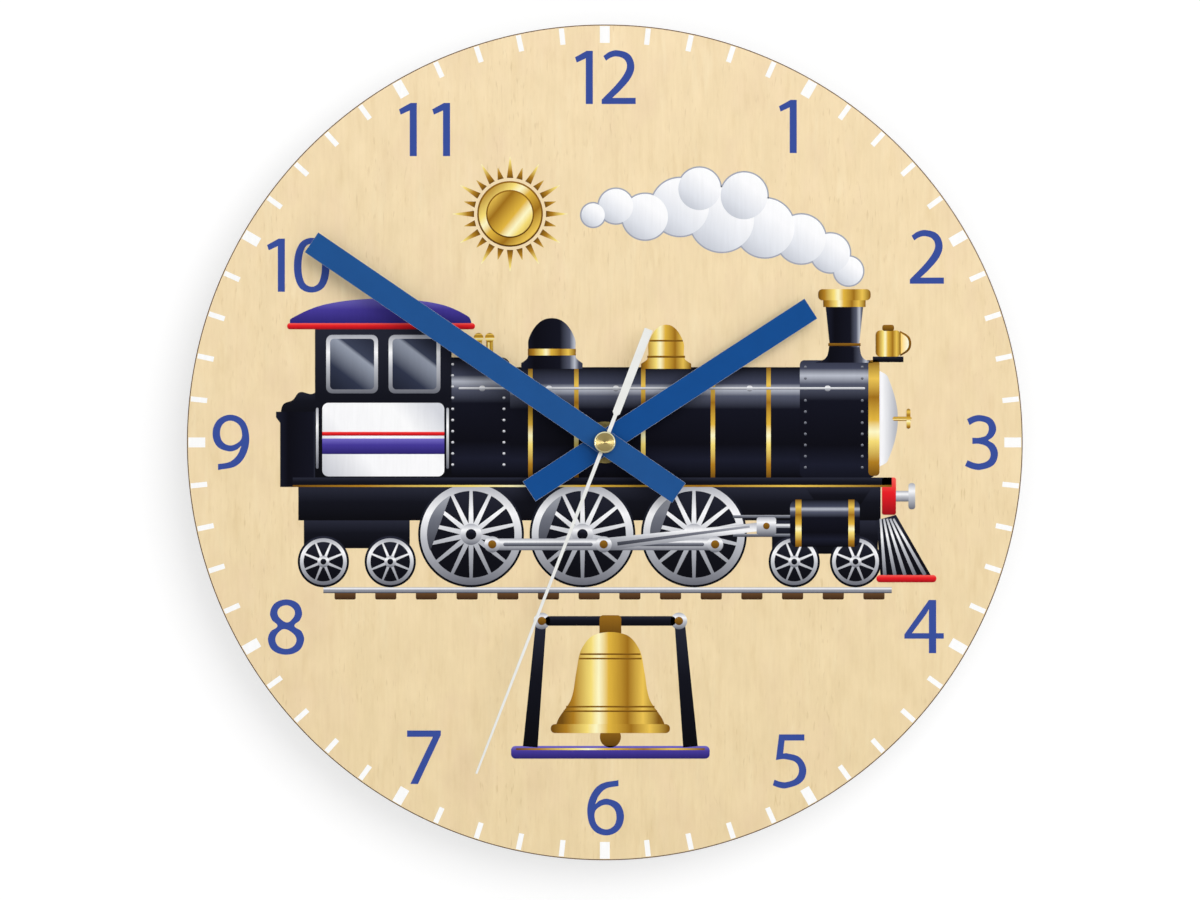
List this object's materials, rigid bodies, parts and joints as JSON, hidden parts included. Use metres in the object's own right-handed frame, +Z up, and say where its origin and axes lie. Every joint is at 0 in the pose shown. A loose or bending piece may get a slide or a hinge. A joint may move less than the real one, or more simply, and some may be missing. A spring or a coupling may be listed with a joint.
{
  "type": "childrens wall clock",
  "caption": "Round plywood wall clock for a child's room: printed dial, straight hour and minute hands, slim seconds hand, and a battery quartz movement that hangs on a nail.",
  "frame": {"origin": "on the hands' axis, in the plane of the wall that the back of the movement rests on", "axes": "+Z up, towards 12 on the dial; -Y out of the dial, towards the reader; +Y into the wall; +X to the reader's right, towards 3"},
  "size_m": [0.3, 0.0328, 0.3],
  "materials": {
    "plywood": "clear matt",
    "brass": "turned",
    "steel": "stamped",
    "rubber": "matt",
    "black_plastic": "moulded",
    "white_plastic": "moulded",
    "blue_hand": "painted",
    "white_hand": "painted",
    "copper": "enamelled wire",
    "magnet": "sintered",
    "laminate": "phenolic board",
    "epoxy": "cast",
    "battery_sleeve": "printed sleeve"
  },
  "bodies": {
    "case": {"movement_front_case": "black_plastic", "movement_back_cover": "black_plastic", "train_plate": "white_plastic", "dial_board": "plywood", "rubber_gasket": "rubber", "brass_washer": "brass", "hex_nut": "brass", "threaded_bush": "brass", "stator_plate": "steel", "coil_core": "steel", "coil_bobbin": "white_plastic", "coil_winding": "copper", "circuit_board": "laminate", "chip_cover": "epoxy", "quartz_crystal": "steel", "battery_contact_positive": "steel", "battery_contact_negative": "steel"},
    "hour": {"hour_hand": "blue_hand", "hour_hand_collet": "steel", "hour_wheel": "white_plastic"},
    "minute": {"minute_hand": "blue_hand", "minute_hand_collet": "steel", "cannon_pinion": "white_plastic"},
    "seconds": {"seconds_hand": "white_hand", "centre_cap": "brass", "seconds_arbor": "steel", "seconds_wheel": "white_plastic"},
    "centre": {"centre_wheel": "white_plastic"},
    "motion": {"minute_wheel": "white_plastic"},
    "third": {"third_wheel": "white_plastic"},
    "fifth": {"fifth_wheel": "white_plastic"},
    "rotor": {"rotor_pinion": "white_plastic", "rotor_magnet": "magnet"},
    "knob": {"setting_knob": "black_plastic", "setting_pinion": "white_plastic"},
    "battery": {"battery_cell": "battery_sleeve"}
  },
  "joints": [
    {"name": "minute_hand_turn", "type": "hinge", "parent": "case", "child": "minute", "pos_m": [0, 0, 0], "axis": [0, 1, 0], "continuous": true},
    {"name": "hour_hand_turn", "type": "hinge", "parent": "case", "child": "hour", "pos_m": [0, 0, 0], "axis": [0, 1, 0], "continuous": true},
    {"name": "minute_wheel_turn", "type": "hinge", "parent": "case", "child": "motion", "pos_m": [-0.00287, 0, 0.00789], "axis": [0, 1, 0], "continuous": true},
    {"name": "setting_knob_turn", "type": "hinge", "parent": "case", "child": "knob", "pos_m": [0, 0, 0.01579], "axis": [0, 1, 0], "continuous": true},
    {"name": "seconds_hand_turn", "type": "hinge", "parent": "case", "child": "seconds", "pos_m": [0, 0, 0], "axis": [0, 1, 0], "continuous": true},
    {"name": "fifth_wheel_turn", "type": "hinge", "parent": "case", "child": "fifth", "pos_m": [0.0108, 0, 0], "axis": [0, 1, 0], "continuous": true},
    {"name": "rotor_turn", "type": "hinge", "parent": "case", "child": "rotor", "pos_m": [0.01367, 0, 0.00789], "axis": [0, 1, 0], "continuous": true},
    {"name": "third_wheel_turn", "type": "hinge", "parent": "case", "child": "third", "pos_m": [-0.01043, 0, 0.0028], "axis": [0, 1, 0], "continuous": true},
    {"name": "centre_wheel_turn", "type": "hinge", "parent": "case", "child": "centre", "pos_m": [0, 0, 0], "axis": [0, 1, 0], "continuous": true},
    {"name": "battery_slide", "type": "slide", "parent": "case", "child": "battery", "axis": [0, 1, 0], "range_m": [0, 0.02]}
  ],
  "couplings": [
    {"joint": "hour_hand_turn", "follows": "minute_hand_turn", "ratio": 0.083333},
    {"joint": "minute_wheel_turn", "follows": "minute_hand_turn", "ratio": -0.33333},
    {"joint": "setting_knob_turn", "follows": "minute_hand_turn", "ratio": 1},
    {"joint": "fifth_wheel_turn", "follows": "seconds_hand_turn", "ratio": -5},
    {"joint": "rotor_turn", "follows": "seconds_hand_turn", "ratio": 30},
    {"joint": "third_wheel_turn", "follows": "seconds_hand_turn", "ratio": -0.13333},
    {"joint": "centre_wheel_turn", "follows": "seconds_hand_turn", "ratio": 0.016667}
  ]
}
